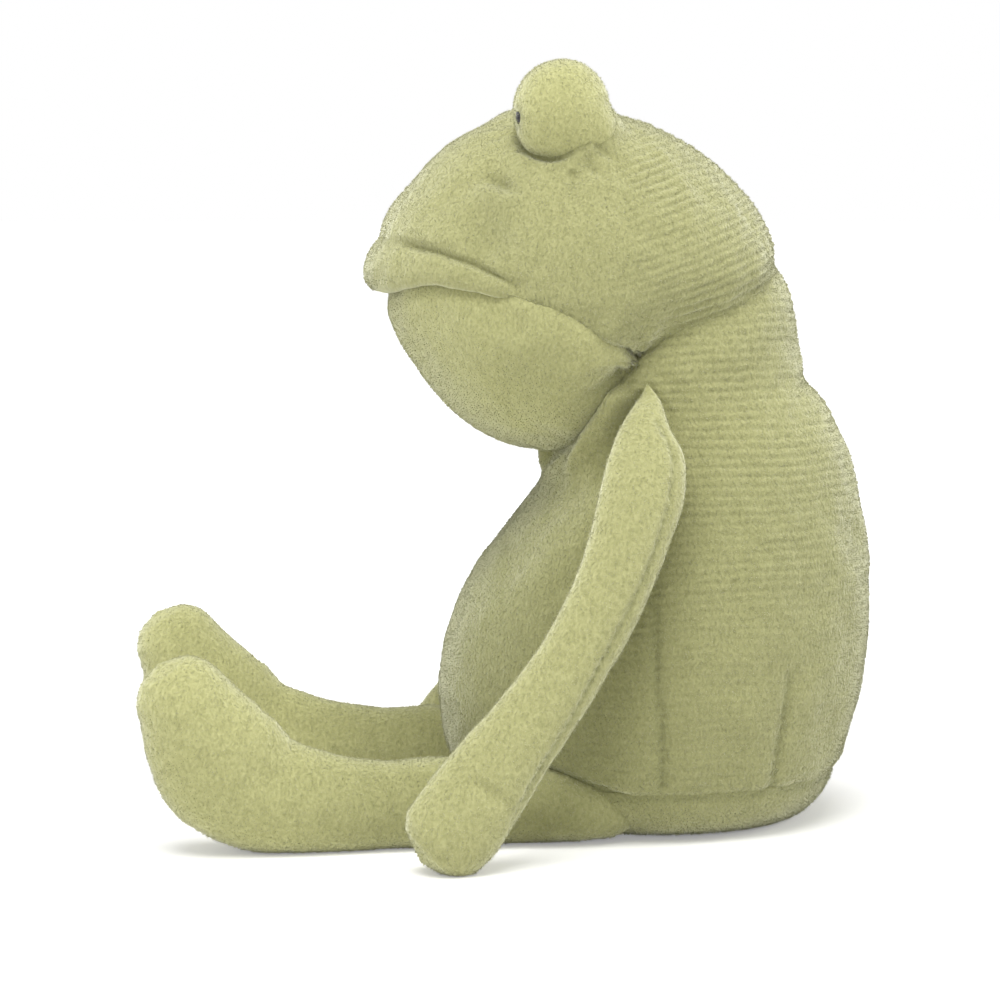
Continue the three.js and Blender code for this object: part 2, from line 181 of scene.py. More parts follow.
def layMesh(name, grid, marks):
    # one closed mesh from a grid: side edges and end rows merge, and marks become attributes
    around, rows = grid.shape[:2]
    bm = bmesh.new()
    bmesh.ops.create_grid(bm, x_segments=around, y_segments=rows - 1, size=1)
    mesh = bpy.data.meshes.new(name)
    bm.to_mesh(mesh)
    flat = np.empty(len(mesh.vertices) * 3)
    mesh.vertices.foreach_get("co", flat)
    x, y, _ = flat.reshape(-1, 3).T
    column = np.rint((x + 1) / 2 * around).astype(int)
    row = np.rint((y + 1) / 2 * (rows - 1)).astype(int)
    mesh.vertices.foreach_set("co", (grid[column % around, row] * mm).ravel())
    for word, values in marks.items():
        values = np.broadcast_to(values, grid.shape[:2])[column % around, row].astype(np.float32)
        mesh.attributes.new(word, "FLOAT", "POINT").data.foreach_set("value", values)
    corner = np.empty(len(mesh.loops), np.int32)
    mesh.loops.foreach_get("vertex_index", corner)
    chart = np.stack([column / around, row / (rows - 1)], 1)[corner] * 0.98 + 0.01     # a margin
    mesh.uv_layers.new(name="OFBake").data.foreach_set("uv", chart.ravel())
    bm.clear()
    bm.from_mesh(mesh)
    bmesh.ops.remove_doubles(bm, verts=bm.verts, dist=1e-6)
    bmesh.ops.dissolve_degenerate(bm, edges=bm.edges, dist=1e-7)
    bm.to_mesh(mesh)
    bm.free()
    return smoothed(mesh)


deepestShade = 0.85


def blurred(values, times):
    for _ in range(times):
        values = (np.roll(values, 1, 0) + 2 * values + np.roll(values, -1, 0)) / 4
        ends = np.concatenate([values[:, :1], values, values[:, -1:]], 1)
        values = (ends[:, :-2] + 2 * values + ends[:, 2:]) / 4
    return values


puckers = Values(
    step=4, pressure=4.0, slack=0.04, stiffness=0.05, frames=20, keep=14, most=0.9, blur=6,
    share=0.45)


def puckersOn(grid, held):
    # the cloth solver on a coarse copy of a skin, held along its seams: how far it puckers
    around, rows = grid.shape[:2]
    column = np.arange(0, around, puckers.step)
    row = np.unique(np.append(np.arange(0, rows, puckers.step), rows - 1))
    spots = np.ix_(column, row)
    coarse = grid[spots]
    where = np.meshgrid(np.arange(len(column)), np.arange(len(row)), indexing="ij")
    marks = dict(held=held[spots], column=where[0], row=where[1])
    mesh = layMesh("clothCopy", coarse, marks)
    cloth = addObject("clothCopy", mesh)
    at = {}
    for word in marks:
        at[word] = np.empty(len(mesh.vertices), np.float32)
        mesh.attributes[word].data.foreach_get("value", at[word])
    group = cloth.vertex_groups.new(name="seams")
    for i, weight in enumerate(at["held"].tolist()):
        group.add([i], min(weight, 1.0), "REPLACE")
    worker = cloth.modifiers.new("cloth", "CLOTH")
    worker.settings.vertex_group_mass = "seams"
    worker.settings.use_pressure = True
    worker.settings.uniform_pressure_force = puckers.pressure
    worker.settings.shrink_min = -puckers.slack
    worker.settings.effector_weights.gravity = 0
    worker.settings.bending_stiffness = puckers.stiffness
    worker.collision_settings.use_collision = False
    worker.point_cache.frame_end = puckers.frames
    scene = bpy.context.scene
    for frameNumber in range(1, puckers.frames + 1):
        scene.frame_set(frameNumber)
    solved = cloth.evaluated_get(bpy.context.evaluated_depsgraph_get()).to_mesh()
    flat = np.empty(len(mesh.vertices) * 3)
    solved.vertices.foreach_get("co", flat)
    moved = coarse.copy()
    moved[at["column"].astype(int), at["row"].astype(int)] = flat.reshape(-1, 3) / mm
    bpy.data.objects.remove(cloth)
    scene.frame_set(1)
    out = ((moved - coarse) * normalsOn(coarse)).sum(2)
    out -= blurred(out, puckers.keep)
    out = np.clip(out, -puckers.most, puckers.most)
    tell(f"cloth solved, puckers of {np.abs(out).mean():.2f} mm on average")
    tall = np.array([np.interp(np.arange(rows), row, line) for line in out])
    column, tall = np.append(column, around), np.vstack([tall, tall[:1]])
    wide = np.array([np.interp(np.arange(around), column, line) for line in tall.T]).T
    return puckers.share * blurred(wide, puckers.blur)


def place(piece, body, slot, *nodes):
    # a piece on one body; one given between two, as (first, second, start, end) in millimetres,
    # only has its transform applied
    if isinstance(body, str):
        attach(piece, body)
    else:
        first, second, start, end = body
        start, end = (tuple(np.array(spot) * mm) for spot in (start, end))
        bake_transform(piece)
    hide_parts(*nodes)


# Forms: profiles by height, and the outlines that cut them

def heightForm(shares, height, front, back, half, bottom=0.0):
    z, *sizes = stations(shares, [height, front, back, half]).T
    form = {word: np.maximum(size, 0) for word, size in zip(("front", "back", "half"), sizes)}
    return dict(z=np.maximum.accumulate(bottom + z), **form)


def reach(form, z, forward, side):
    # how far a form's section at height z goes from its spine in one direction
    front, back, half = (np.maximum(np.interp(z, form["z"], form[word], left=0, right=0), thinnest)
                         for word in ("front", "back", "half"))
    depth = np.where(forward > 0, front, back)
    return 1 / np.sqrt((side / half) ** 2 + (forward / depth) ** 2 + tiny)


def columnsOf(count):
    # the forward and sideways shares of each column
    turn = np.arange(count)[:, None] / count * fullTurn
    return -np.sin(turn), np.cos(turn)


def resample(profiles, low, high, rows):
    # each profile cut from low to high, and walked in equal steps
    out = np.empty((len(profiles), rows, 3))
    for i, profile in enumerate(profiles):
        index = np.linspace(low[i], high[i], 500)
        base = np.arange(len(profile))
        points = np.stack([np.interp(index, base, profile[:, k]) for k in range(3)], 1)
        run = np.concatenate([[0], np.cumsum(np.linalg.norm(np.diff(points, axis=0), axis=1))])
        steps = np.linspace(0, run[-1], rows)
        out[i] = np.stack([np.interp(steps, run, points[:, k]) for k in range(3)], 1)
    return out


def crossing(values, last=False):
    # where each profile's values first rise above nothing, or where they last do
    out = np.zeros(len(values))
    for i, row in enumerate(values):
        spots = np.nonzero((row[:-1] <= 0) & (row[1:] > 0))[0]
        if len(spots):
            k = spots[-1 if last else 0]
            out[i] = k - row[k] / (row[k + 1] - row[k])
    return out


hidden = Values(curlRows=8, curlTurn=2.6, flatRows=14)     # the closed end of an open skin
hiddenRows = hidden.curlRows + hidden.flatRows
bothEnds = (hiddenRows, hiddenRows)
heldRows = hiddenRows + 4


def capped(grid, centre, atEnd, curl):
    # rolls the last row of a grid inwards by curl, and closes it to one hidden point
    if not atEnd:
        return capped(grid[:, ::-1], centre, True, curl)[:, ::-1]
    curl = np.broadcast_to(np.asarray(curl, float).reshape(-1, 1), (len(grid), 1))
    edge = grid[:, -1]
    along = edge - grid[:, -4]
    along /= np.linalg.norm(along, axis=1)[:, None] + tiny
    outward = np.cross(np.roll(edge, -1, 0) - np.roll(edge, 1, 0), along)
    outward /= np.linalg.norm(outward, axis=1)[:, None] + tiny
    outward *= np.sign(((edge - centre) * outward).sum(1))[:, None]
    rows = [grid]
    for k in range(1, hidden.curlRows + 1):
        turn = hidden.curlTurn * k / hidden.curlRows
        rolled = edge + curl * (along * math.sin(turn) - outward * (1 - math.cos(turn)))
        rows.append(rolled[:, None])
    for k in range(1, hidden.flatRows + 1):
        rows.append((rolled + (centre - rolled) * k / hidden.flatRows)[:, None])
    return np.concatenate(rows, 1)


def heldAt(near, firmly, atTop=True):
    # what the solver holds: near seams, wholly where firmly says so, and the hidden rows
    held = np.clip(near + firmly, 0, 1)
    held[:, :heldRows] = 1
    if atTop:
        held[:, -heldRows:] = 1
    return held


# The neck: a slanting plane through it, and the cloth folds along it

pivot = np.array([0, -12.5, 89.0])
neckTilt = math.radians(36)
headNormal = np.array([0, -math.sin(neckTilt), math.cos(neckTilt)])
fold = Values(
    rise=4.0, starts=(-21.5, -15.5), ends=(-8, 11), least=0.2, beside=0.6, round=(-0.22, 0.36),
    ahead=0.6, aheadFrom=(0.2, 0.6), shade=0.02, deepShade=0.35, shadeTall=1.2, width=3.0)
throatGroove = np.array([
    [-33, 68], [-29.4, 72.2], [-26.6, 75.6], [-24.1, 78.3], [-20, 84.3], [-16.8, 90],
    [-13.6, 92.3]])
throatSquare = 0.82     # turns a gap along Y into one square to the groove


def aboveFold(points):
    # how far over the fold a point lies: its cloth reaches furthest just behind the gather
    y = points[..., 1]
    rise = fold.rise * ramp(y, *fold.starts) * (1 - ramp(y, *fold.ends))
    return (points - pivot) @ headNormal - rise


def foldDepth(forward):
    # how deep the fold goes: deep at the sides, slight at the nape
    return (fold.least + fold.beside * bump(forward, *fold.round)
            + fold.ahead * ramp(forward, *fold.aheadFrom))


def foldShade(forward, over):
    # painted shade along the neck's fold, darker where the fold goes deeper
    deep = fold.shade + fold.deepShade * (foldDepth(forward) - fold.least)
    return deep * bell(over, fold.shadeTall)


def aheadOfThroat(points):
    # how far ahead of the groove at the throat a point lies, seen from the side
    groove = np.interp(points[..., 2], throatGroove[:, 1], throatGroove[:, 0])
    return throatSquare * (groove - points[..., 1])


def sunkAt(gap, width, depth, dive=1.1, most=3.0):
    # how a skin sinks towards a seam and turns in beyond it, where gap falls below 0
    return -depth * bell(np.maximum(gap, 0), width) - np.minimum(dive * np.maximum(-gap, 0), most)


# What seams, folds and dents share. Paths and centres are (Y, Z), on both sides.

gather = Values(
    at=(-13.1, 92.4), beside=(16, 24), folds=9, start=0.4, twist=0.2, fan=(0.28, 9.0), open=3,
    pit=(0.4, 3))
pile = dict(
    lumps=dict(depth=0.42, scale=15, detail=2, shift=0),
    ripples=dict(depth=0.16, scale=5, detail=2, shift=7),
    grain=dict(depth=0.05, scale=1.1, detail=1, shift=13))
stitch = Values(pitch=2.3, dip=0.35, dipWide=0.7, shade=0.35, shadeWide=0.6, edge=4)
dentEdge = 6
stuffing = 1.0     # the seed of the lumps that body and head share
# ribbing's shade is painted shade in the troughs between the ribs
ribbing = Values(sway=(0.8, 16), wobble=(0.2, 4), whole=0.7, broken=(0.4, 7), shade=1.5)


def seamsOn(grid, *kinds):
    # sewn grooves and creases along paths: how far in they go, and how dark they are, with darker
    # stitch holes and painted shade along the groove. Within is how far out from the middle they
    # start, and fade the shares of their length that fade away.
    total, shade = np.zeros((2, *grid.shape[:2]))
    for kind in kinds:
        width, within, stitches = kind["width"], kind["within"], kind.get("stitches", 0)
        for points in kind["paths"]:
            gap, along, run = nearPath(grid, curveAt(points, np.linspace(0, 1, 28)))
            ends = ramp(along, 0, kind["fade"][0]) * (1 - ramp(along, 1 - kind["fade"][1], 1))
            ends = np.where(gap < 3 * width + 1, ends, 0)
            ends = ends * beside(grid, within, within + stitch.edge)
            dots = 0.5 + 0.5 * np.cos(along * run / stitch.pitch * fullTurn)
            pits = stitches * stitch.dip * bell(gap, width * stitch.dipWide) * dots
            spots = stitches * stitch.shade * bell(gap, width * stitch.shadeWide) * dots**2
            line = bell(gap, width) * ends
            total -= line * kind["depth"] + pits * ends
            shade += line * kind.get("shade", 0) + spots * ends
    return total, shade


def dentsOn(grid, dents, within):
    # soft dents as (centre, radii, tilt, depth), and swellings as depths below 0
    total = np.zeros(grid.shape[:2])
    for centre, radii, tilt, depth in dents:
        y, z = grid[..., 1] - centre[0], grid[..., 2] - centre[1]
        c, s = math.cos(math.radians(tilt)), math.sin(math.radians(tilt))
        a, b = (y * c + z * s) / radii[0], (z * c - y * s) / radii[1]
        total -= depth * np.exp(-(a * a + b * b))
    return total * beside(grid, within, within + dentEdge)


def bandsOn(forward, z, bands):
    # level swellings: how far out, whether in front or behind, where they start and end round
    # the piece, and the height and tallness of their middle
    return sum(out * ramp(way * forward, start, end) * bump(z, middle, tall)
               for out, way, start, end, middle, tall in bands)


def foldsAtGather(grid):
    # folds that run out from where the cheek seam, the neck's fold and the shoulder meet
    y, z = grid[..., 1] - gather.at[0], grid[..., 2] - gather.at[1]
    away = np.hypot(y, z)
    turn = gather.folds * np.arctan2(z, y) + gather.start + gather.twist * away
    folds = np.cos(turn) * streak(away, *gather.fan) * ramp(away, 0, gather.open)
    return (folds - streak(away, *gather.pit)) * beside(grid, *gather.beside)


def lumpsOn(grid, seed, share=1.0):
    # the uneven stuffing, and the pile's own roughness
    return share * sum(
        kind["depth"] * noiseOn(grid, kind["scale"], kind["detail"], seed + kind["shift"])
        for kind in pile.values())


def ribsOn(grid, pitch, depth, lean, seed):
    # level rows of pile, broken up along their length
    def waver(shift, size, scale):
        return size * noiseOn(grid, scale, 1, seed + shift)

    level = grid[..., 2] - math.tan(math.radians(lean)) * grid[..., 1]
    level = level + waver(0, *ribbing.sway) + waver(5, *ribbing.wobble)
    whole = np.clip(ribbing.whole + waver(3, *ribbing.broken), 0, 1)
    return depth * np.cos(level / pitch * fullTurn) * whole


# Materials

def feed(tree, node, links):
    # sets each socket's value, or links it to another node's socket
    for socket, value in links:
        if isinstance(value, bpy.types.NodeSocket):
            tree.links.new(value, node.inputs[socket])
        else:
            node.inputs[socket].default_value = value


def addNode(tree, kind, *links, **values):
    node = tree.nodes.new(kind)
    for key, value in values.items():
        setattr(node, key, value)
    feed(tree, node, links)
    return node


def nodesOf(name):
    material = bpy.data.materials.new(name)
    material.use_nodes = True
    tree = material.node_tree
    coords = addNode(tree, "ShaderNodeTexCoord").outputs["Object"]
    return material, tree, tree.nodes["Principled BSDF"], coords


def noiseNode(tree, source, scale, detail=3.0):
    return addNode(tree, "ShaderNodeTexNoise", ("Scale", scale), ("Detail", detail),
                   ("Vector", source)).outputs["Fac"]


def mathNode(tree, kind, a, b):
    return addNode(tree, "ShaderNodeMath", (0, a), (1, b), operation=kind).outputs[0]


def rampNode(tree, factor, stops):
    node = addNode(tree, "ShaderNodeValToRGB", (0, factor))
    band = node.color_ramp
    while len(band.elements) < len(stops):
        band.elements.new(0.5)
    for element, (spot, colour) in zip(band.elements, stops):
        element.position = spot
        element.color = (*colour, 1)
    return node.outputs["Color"]


def mottled(name, scale, stops, roughness=0.5):
    # a plain material with a faint mottle
    material, tree, shader, coords = nodesOf(name)
    colour = rampNode(tree, noiseNode(tree, coords, scale), stops)
    feed(tree, shader, [("Base Color", colour), ("Roughness", roughness)])
    return material


plush = Values(
    dark=(0.345, 0.345, 0.155), mid=(0.46, 0.457, 0.22), bright=(0.56, 0.555, 0.29),
    stops=(0.24, 0.5, 0.76), seam=(0.15, 0.155, 0.06), speckle=0.8, stretch=(1, 1, 0.8),
    brushing=450, roughness=0.95, specular=0.12, sheen=1.0, sheenRoughness=0.4,
    sheenTint=(0.97, 0.97, 0.8, 1), bump=0.7, bumpHeight=0.0004)


def plushMaterial(name, paintedBrightness=1.0, grain=1800):
    # short pile: a fine mottle of lit and shaded tufts over a faint uneven brushing
    material, tree, shader, coords = nodesOf(name)
    stretched = addNode(tree, "ShaderNodeMapping", ("Scale", plush.stretch), ("Vector", coords))
    fine = noiseNode(tree, stretched.outputs["Vector"], grain, 4)
    brushed = noiseNode(tree, coords, plush.brushing)
    mixed = mathNode(tree, "ADD", mathNode(tree, "MULTIPLY", fine, plush.speckle),
                     mathNode(tree, "MULTIPLY", brushed, 1 - plush.speckle))
    tones = [tuple(c * paintedBrightness for c in plush[word]) for word in ("dark", "mid", "bright")]
    colour = rampNode(tree, mixed, list(zip(plush.stops, tones)))
    # the shade attribute mixes in the dark seam colour: darker seams and stitch holes, and painted
    # shade in folds, creases and hollows, under overhangs and over lower parts
    shade = addNode(tree, "ShaderNodeAttribute", attribute_name="seamShade").outputs["Fac"]
    shaded = addNode(tree, "ShaderNodeMix", data_type="RGBA")
    feed(tree, shaded, [(0, shade), (6, colour), (7, (*plush.seam, 1))])
    bump = addNode(tree, "ShaderNodeBump", ("Strength", plush.bump),
                   ("Distance", plush.bumpHeight), ("Height", fine))
    feed(tree, shader, [
        ("Base Color", shaded.outputs[2]), ("Roughness", plush.roughness),
        ("Specular IOR Level", plush.specular), ("Sheen Weight", plush.sheen),
        ("Sheen Roughness", plush.sheenRoughness), ("Sheen Tint", plush.sheenTint),
        ("Diffuse Roughness", 1.0), ("Normal", bump.outputs["Normal"])])
    return material


# The brightness of each copy is painted light: the chin, mound and legs are made much lighter, the
# body and arms a little, standing in for how brightly each part is lit.
bodyPlush = plushMaterial("ribbedPlush", 1.05)
headPlush = plushMaterial("velour")
chinPlush = plushMaterial("chinVelour", 1.16)
moundPlush = plushMaterial("litVelour", 1.18)
limbPlush = plushMaterial("limbPlush", 1.06, grain=1500)
legPlush = plushMaterial("legPlush", 1.17, grain=1500)


# Nap: short closed tufts stood on a finished skin, in the same mesh

nap = Values(dense=3.4, length=0.42, thick=0.07, lean=(0, 0.1, -0.35), stray=0.4, sizes=(0.6, 1.25))


def napOn(piece, seed, length=nap.length, lean=nap.lean):
    group = bpy.data.node_groups.new(f"{piece.name}Nap", "GeometryNodeTree")
    for way in ("INPUT", "OUTPUT"):
        group.interface.new_socket("Geometry", in_out=way, socket_type="NodeSocketGeometry")
    start = addNode(group, "NodeGroupInput").outputs[0]
    napped = addNode(group, "GeometryNodeInputNamedAttribute", ("Name", "napShare"))
    dense = mathNode(group, "MULTIPLY", napped.outputs[0], nap.dense * 1e6)     # per square metre
    spots = addNode(group, "GeometryNodeDistributePointsOnFaces", ("Mesh", start),
                    ("Density", dense), ("Seed", seed))
    cone = addNode(group, "GeometryNodeMeshCone", ("Vertices", 3), ("Radius Top", 0.0),
                   ("Radius Bottom", nap.thick * mm), ("Depth", length * mm))
    smooth = addNode(group, "GeometryNodeSetShadeSmooth", ("Geometry", cone.outputs["Mesh"]))
    tuft = addNode(group, "GeometryNodeSetMaterial", ("Geometry", smooth.outputs[0]),
                   ("Material", piece.data.materials[0]))
    low, high = ([v + way * nap.stray for v in lean] for way in (-1, 1))
    stray = addNode(group, "FunctionNodeRandomValue", ("Seed", seed + 1), data_type="FLOAT_VECTOR")
    feed(group, stray, [("Min", low), ("Max", high)])
    aim = addNode(group, "ShaderNodeVectorMath", (0, spots.outputs["Normal"]),
                  (1, stray.outputs["Value"]), operation="ADD")
    turn = addNode(group, "FunctionNodeAlignRotationToVector",
                   ("Vector", aim.outputs["Vector"]), axis="Z")
    size = addNode(group, "FunctionNodeRandomValue", (2, nap.sizes[0]), (3, nap.sizes[1]),
                   ("Seed", seed + 2), data_type="FLOAT")
    stood = addNode(group, "GeometryNodeInstanceOnPoints", ("Points", spots.outputs["Points"]),
                    ("Instance", tuft.outputs[0]), ("Rotation", turn.outputs[0]),
                    ("Scale", size.outputs[1]))
    real = addNode(group, "GeometryNodeRealizeInstances", ("Geometry", stood.outputs[0]))
    both = addNode(group, "GeometryNodeJoinGeometry", (0, real.outputs[0]), (0, start))
    addNode(group, "NodeGroupOutput", (0, both.outputs[0]))
    piece.modifiers.new("nap", "NODES").node_group = group
    graph = bpy.context.evaluated_depsgraph_get()
    mesh = bpy.data.meshes.new_from_object(piece.evaluated_get(graph))
    piece.modifiers.clear()
    mesh.name = piece.name
    piece.data = mesh
    bpy.data.node_groups.remove(group)


def dress(name, grid, material, body, slot, *nodes, seed=None, shade=0.0, fill=0.7, bare=(0, 0),
          **tufts):
    # a soft piece from its grid: what it rides and replaces, how dark its seams are, how full it
    # is (not used), and the seed of its nap; the rows in bare, at its start and end, get no nap
    # shade darkens the seams and also carries painted shade: in folds, creases and hollows, under
    # overhangs and over lower parts
    rows = np.arange(grid.shape[1])
    napped = np.where((rows < bare[0]) | (rows >= len(rows) - bare[1]), 0.0, 1.0)[None]
    mesh = layMesh(name, grid, dict(seamShade=np.clip(shade, 0, deepestShade), napShare=napped))
    mesh.materials.append(material)
    piece = addObject(name, mesh)
    if seed:
        napOn(piece, seed, **tufts)
    place(piece, body, slot, *nodes)


# The body with its neck roll, from the base seam up into the head

body = Values(
    around=288, rows=290, seamZ=9.4, topZ=112, spineY=-9.0, soft=1.1, tuck=1.5, sideTuck=2.5,
    sideTuckRound=(0.14, 0.2), roll=0.8, rollUp=(-5, 3.5), rollRound=(-0.25, 0.5),
    throatBeside=(2, 7), throatAhead=(16, 20), throatAbove=(66, 71), seam=(0.5, 1.5),
    seamShade=(0.2, 0.7), lowCap=(0, -9, 16.0), topCap=(0, -12, 90.0), ribbed=(-34, -16),
    bellyShade=0.16, belly=(62, 84), lapShade=0.16, lapAhead=(14, 30), lapBelow=(50, 70))
bodyRibs = dict(pitch=1.8, depth=0.15, lean=0, seed=4)
torsoShares = [
    [-5, 0, 0, 0], [0, 600, 610, 565], [15, 745, 705, 720],
    [40, 850, 775, 810], [90, 930, 850, 895], [165, 980, 910, 955],
    [280, 1000, 980, 995], [390, 950, 1000, 1000], [510, 815, 1000, 970], [600, 650, 970, 915],
    [670, 520, 935, 850], [760, 420, 875, 755], [830, 360, 785, 700],
    [880, 325, 680, 670], [940, 300, 600, 640], [1000, 0, 0, 0]]
neckShares = [
    [0, 0, 0, 0], [70, 780, 810, 740], [180, 950, 915, 880], [285, 1000, 970, 945],
    [430, 980, 990, 985], [555, 940, 1000, 1000], [680, 860, 980, 990],
    [785, 735, 935, 945], [875, 610, 855, 860], [945, 450, 700, 675],
    [1000, 0, 0, 0]]
torsoForm = heightForm(torsoShares, height=100, front=43, back=42.5, half=42.5)
neckForm = heightForm(neckShares, height=56, front=24.5, back=28.4, half=29.6, bottom=60)
darts = dict(
    paths=[
        [(-10.6, 56), (-10.2, 41), (-9.6, 29.4), (-8.8, 17.3), (-8.9, 10)],
        [(16.8, 38), (14.9, 25.1), (13.6, 16.9), (12.4, 7.6)]],
    depth=0.45, width=0.9, stitches=0.5, shade=0.2, within=18, fade=(0.35, 0.05))
# armGroove and thighCrease paint shade: the arm's shadow along the throat, and shade in the crease
# over the thigh
armGroove = dict(
    paths=[[(-12.6, 88), (-14.9, 83.4), (-17.4, 77.8), (-19.8, 72.2), (-23, 65)]],
    depth=1.0, width=1.0, shade=0.25, within=6, fade=(0.05, 0.5))
thighCrease = dict(
    paths=[[(-36, 15.5), (-30.1, 13.9), (-24, 12), (-19, 10.4), (-14.8, 7.6)]],
    depth=0.7, width=1.2, shade=0.35, within=20, fade=(0.05, 0.1))
throatRidge = dict(
    paths=[[(-14.9, 88.6), (-18.4, 82.5), (-21.9, 76.5), (-24.8, 72), (-28, 66.5)]],
    depth=-3.9, width=2.0, within=3, fade=(0.12, 0.4))


def bodyReach(z, forward, side):
    torso, neck = (reach(form, z, forward, side) for form in (torsoForm, neckForm))
    return smoothMax(torso, neck, body.soft)


def bodyProfiles(around, low, high):
    forward, side = columnsOf(around)
    z = np.linspace(low, high, 800)[None]
    wide = bodyReach(z, forward, side)
    y = body.spineY - wide * forward
    return np.stack([wide * side, y, np.broadcast_to(z, y.shape)], 2)


around = body.around
forward, _ = columnsOf(around)
profiles = bodyProfiles(around, body.seamZ, body.topZ)
tuck = body.sideTuck * bump(forward, *body.sideTuckRound)
top = crossing(aboveFold(profiles) - body.tuck - tuck)
grid = resample(profiles, np.zeros(around), top, body.rows)
_, y, z = axesOf(grid)
over = aboveFold(grid)
inThroat = beside(grid, *body.throatBeside) * ramp(-y, *body.throatAhead)
inThroat = inThroat * ramp(z, *body.throatAbove)
grid = push(grid, sunkAt(-over, fold.width, foldDepth(forward))
            + inThroat * sunkAt(-aheadOfThroat(grid), 1.6, 0.3, most=2.0)
            + body.roll * bump(over, *body.rollUp) * bump(forward, *body.rollRound))
grid = capped(grid, body.lowCap, False, curl=0.9)
grid = capped(grid, body.topCap, True, curl=1.2)

_, y, z = axesOf(grid)
low, over = z - body.seamZ, aboveFold(grid)
dip, shade = seamsOn(grid, darts)
ridge, _ = seamsOn(grid, throatRidge)
groove, dark = seamsOn(grid, armGroove, thighCrease)
shade += dark + streak(low, *body.seamShade) + foldShade(forward, over)
ribs = ribsOn(grid, **bodyRibs) * ramp(y, *body.ribbed)
ribs = ribs * (0.35 + 0.65 * ramp(z, 35, 70))     # fainter low down
shade += ribbing.shade * np.maximum(-ribs, 0)
held = heldAt(bell(low, 1.5) + bell(over, 2.5), shade > 0.12)
# painted shade over the body, deeper lower down, left off the throat ridge so that it reads as lit
belly = 0.04 + body.bellyShade * (1 - ramp(z, *body.belly))
shade += (1 - np.clip(ridge / 3, 0, 1)) * belly     # the ridge stays light
# painted shade on the front of the belly, under the head
shade += body.lapShade * ramp(-y, *body.lapAhead) * (1 - ramp(z, *body.lapBelow))
swell = dip + ridge + groove + puckersOn(grid, held) + lumpsOn(grid, stuffing) + ribs
grid = push(grid, swell - streak(low, *body.seam) + foldsAtGather(grid))
dress("bodySkin", grid, bodyPlush, ("torso", "neck", pivot - 14 * headNormal, pivot),
      "ribbed_plush", "torso_cover", "torso_filling", "neck_cover", "neck_filling",
      seed=11, shade=shade, bare=bothEnds)
tell("body laid")

# The base panel under the seam, flat where it rests

base = Values(around=224, rows=44, discRows=70, cap=(0, -9, 6.5), flat=(0.1, 3), shade=0.2,
              seamShade=(0.2, 0.8), napLength=0.5)
profiles = bodyProfiles(base.around, 0, body.seamZ)
last = np.full(base.around, profiles.shape[1] - 1)
grid = resample(profiles, 0 * last, last, base.rows)
middle = np.array([0, body.spineY, 0])
spread = np.linspace(0, 1, base.discRows, endpoint=False)[None, :, None]
disc = spread * (grid[:, :1] - middle) + middle
grid = capped(np.concatenate([disc, grid], 1), base.cap, True, curl=0.9)
lumps = ramp(grid[..., 2], *base.flat) * lumpsOn(grid, stuffing)     # the body's own lumps
grid = push(grid, lumps - streak(grid[..., 2] - body.seamZ, *body.seam))
grid[..., 2] = np.maximum(grid[..., 2], 0)
# painted shade over the whole base panel, beside the darker seam
shade = base.shade + streak(grid[..., 2] - body.seamZ, *base.seamShade)
dress("baseSkin", grid, bodyPlush, "torso", "ribbed_plush", "base_panel", seed=17,
      shade=shade, bare=(base.discRows, hiddenRows), length=base.napLength)
tell("base laid")

# The head over the mouth line, with its rolled lip. The eye mounds sit in its top.

mound = Values(
    around=128, rows=96, half=9.4, length=9.7, backLength=8.9, height=10.3, apart=19.0, y=-27.8,
    z=140.3, seat=(9.5, 9.6, 10.3), wider=0.08, longer=0.45)
head = Values(
    around=288, rows=270, height=69.0, bottom=72.5, front=39.8, back=42.0, half=38.2,
    spineY=-24.0, lip=3.1, lipStarts=(0.28, 0.55), ribbed=(-26, -10), cap=(0, -24, 113.0))
headRibs = dict(pitch=1.68, depth=0.16, lean=18, seed=9)
# Shares of height, front, back, half and lip
headShares = [
    [0, 0, 0, 0, 0], [43, 427, 857, 524, 0], [100, 600, 950, 746, 0],
    [180, 754, 1000, 874, 0], [270, 860, 1000, 953, 0], [370, 940, 1000, 995, 0],
    [450, 980, 988, 1000, 0], [471, 985, 980, 1000, 600], [500, 990, 970, 995, 1000],
    [536, 995, 952, 985, 900], [580, 1000, 930, 965, 450],
    [616, 995, 905, 948, 0], [696, 920, 848, 885, 0], [790, 770, 720, 772, 0],
    [877, 608, 557, 628, 0], [942, 452, 357, 470, 0],
    [984, 327, 143, 275, 0], [1000, 0, 0, 0, 0]]
# How far forward a column points, and the heights there of the mouth line (then the cheek seam)
# and of the lip's crease
mouthTable = np.array([
    [-1, 60], [-0.42, 80], [-0.3, 89], [-0.24, 93.4], [-0.16, 96.3], [-0.074, 98.6],
    [0.068, 101.9], [0.173, 103.8], [0.33, 105.6], [0.42, 106.8], [0.5, 107.7], [0.68, 108.8],
    [0.85, 108.2], [0.93, 106.9], [1, 105.5]])
creaseTable = np.array([
    [0.3, 106.8], [0.36, 108.6], [0.495, 111.5], [0.69, 113.8], [0.8875, 115], [1, 115.4]])
lip = Values(face=(0.3, 0.42), fades=(0.74, 0.98), faded=0.8, crease=(1.25, 0.8), shade=(0.22, 0.6),
             roll=(0.8, 3.2), brow=(0.8, 2.4), browUp=3.2)
cheekSeam = Values(starts=(-0.4, -0.28), ends=(0.28, 0.36), shade=(0.1, 0.7), pitch=1.9, up=0.3,
                   dip=(0.25, 0.6), dots=(0.5, 0.45))
moundFold = Values(ahead=(21.5, 31), fill=(3.0, 0.3), fillFrom=0.95, fillEnds=(-10, 0),
                   dipRing=(1.05, 0.1), shade=0.4, shadeRing=(1.06, 0.1))
